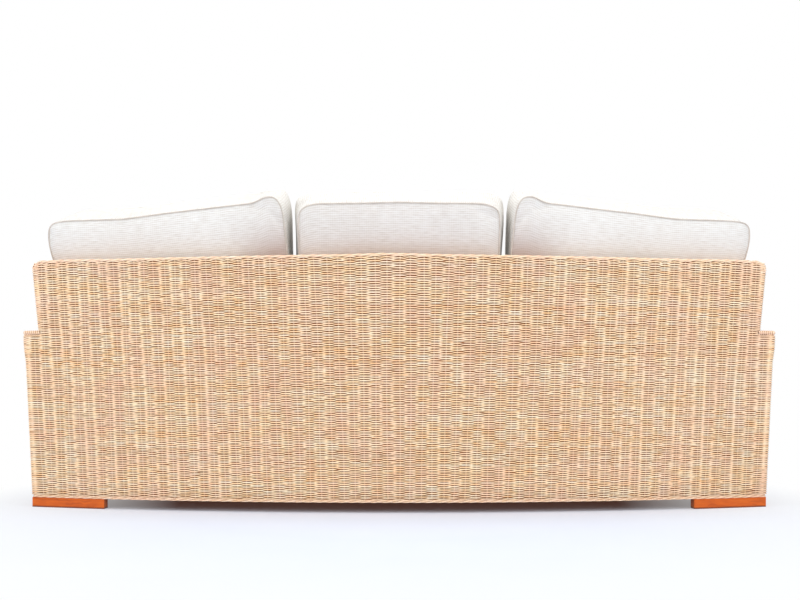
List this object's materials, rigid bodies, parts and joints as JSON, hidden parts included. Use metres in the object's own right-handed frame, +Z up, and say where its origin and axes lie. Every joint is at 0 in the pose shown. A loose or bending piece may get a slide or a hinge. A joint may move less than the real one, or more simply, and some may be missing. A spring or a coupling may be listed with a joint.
{
  "type": "rattan garden sofa",
  "caption": "Garden sofa with a bowed, raked back and low square arms in woven rattan on bracket feet, with loose boxed seat and back cushions.",
  "frame": {"origin": "on the floor, under the middle of the box of the whole sofa", "axes": "+Z up, +X to the sitter's left along the length, +Y towards the bowed back; the seat faces -Y"},
  "size_m": [2.3, 1, 0.977],
  "materials": {
    "rattan_weave": "matte",
    "rattan_border": "satin",
    "rattan_pole": "matte",
    "woven_deck": "matte",
    "stained_wood": "satin",
    "linen_fabric": "matte"
  },
  "bodies": {
    "frame": {"rear_weave": "rattan_weave", "inner_back_weave": "rattan_weave", "front_apron_weave": "rattan_weave", "left_back_end_weave": "rattan_weave", "left_arm_outer_weave": "rattan_weave", "left_arm_inner_weave": "rattan_weave", "left_arm_front_weave": "rattan_weave", "left_arm_top_weave": "rattan_weave", "right_back_end_weave": "rattan_weave", "right_arm_outer_weave": "rattan_weave", "right_arm_inner_weave": "rattan_weave", "right_arm_front_weave": "rattan_weave", "right_arm_top_weave": "rattan_weave", "rear_bottom_border": "rattan_border", "front_bottom_border": "rattan_border", "left_bottom_border": "rattan_border", "right_bottom_border": "rattan_border", "top_border_roll": "rattan_border", "rear_bottom_rail": "rattan_pole", "front_bottom_rail": "rattan_pole", "back_top_rail": "rattan_pole", "seat_front_rail": "rattan_pole", "seat_rear_rail": "rattan_pole", "left_rear_corner_post": "rattan_pole", "left_front_outer_post": "rattan_pole", "left_front_inner_post": "rattan_pole", "left_back_end_post": "rattan_pole", "left_bottom_rail": "rattan_pole", "left_arm_outer_rail": "rattan_pole", "left_arm_inner_rail": "rattan_pole", "left_seat_side_rail": "rattan_pole", "right_rear_corner_post": "rattan_pole", "right_front_outer_post": "rattan_pole", "right_front_inner_post": "rattan_pole", "right_back_end_post": "rattan_pole", "right_bottom_rail": "rattan_pole", "right_arm_outer_rail": "rattan_pole", "right_arm_inner_rail": "rattan_pole", "right_seat_side_rail": "rattan_pole", "seat_front_post_1": "rattan_pole", "seat_front_post_2": "rattan_pole", "back_post_1": "rattan_pole", "back_post_2": "rattan_pole", "back_post_3": "rattan_pole", "back_post_4": "rattan_pole", "seat_bearer_1": "rattan_pole", "seat_bearer_2": "rattan_pole", "seat_bearer_3": "rattan_pole", "seat_bearer_4": "rattan_pole", "seat_deck": "woven_deck", "left_rear_foot": "stained_wood", "left_front_foot": "stained_wood", "right_rear_foot": "stained_wood", "right_front_foot": "stained_wood"},
    "left_seat": {"left_seat_cushion": "linen_fabric"},
    "left_back": {"left_back_cushion": "linen_fabric"},
    "centre_seat": {"centre_seat_cushion": "linen_fabric"},
    "centre_back": {"centre_back_cushion": "linen_fabric"},
    "right_seat": {"right_seat_cushion": "linen_fabric"},
    "right_back": {"right_back_cushion": "linen_fabric"}
  },
  "joints": [
    {"name": "left_seat_lift", "type": "slide", "parent": "frame", "child": "left_seat", "axis": [0, 0, 1], "range_m": [0, 0.3]},
    {"name": "left_back_lift", "type": "slide", "parent": "left_seat", "child": "left_back", "axis": [0, 0, 1], "range_m": [0, 0.4]},
    {"name": "centre_seat_lift", "type": "slide", "parent": "frame", "child": "centre_seat", "axis": [0, 0, 1], "range_m": [0, 0.3]},
    {"name": "centre_back_lift", "type": "slide", "parent": "centre_seat", "child": "centre_back", "axis": [0, 0, 1], "range_m": [0, 0.4]},
    {"name": "right_seat_lift", "type": "slide", "parent": "frame", "child": "right_seat", "axis": [0, 0, 1], "range_m": [0, 0.3]},
    {"name": "right_back_lift", "type": "slide", "parent": "right_seat", "child": "right_back", "axis": [0, 0, 1], "range_m": [0, 0.4]}
  ]
}
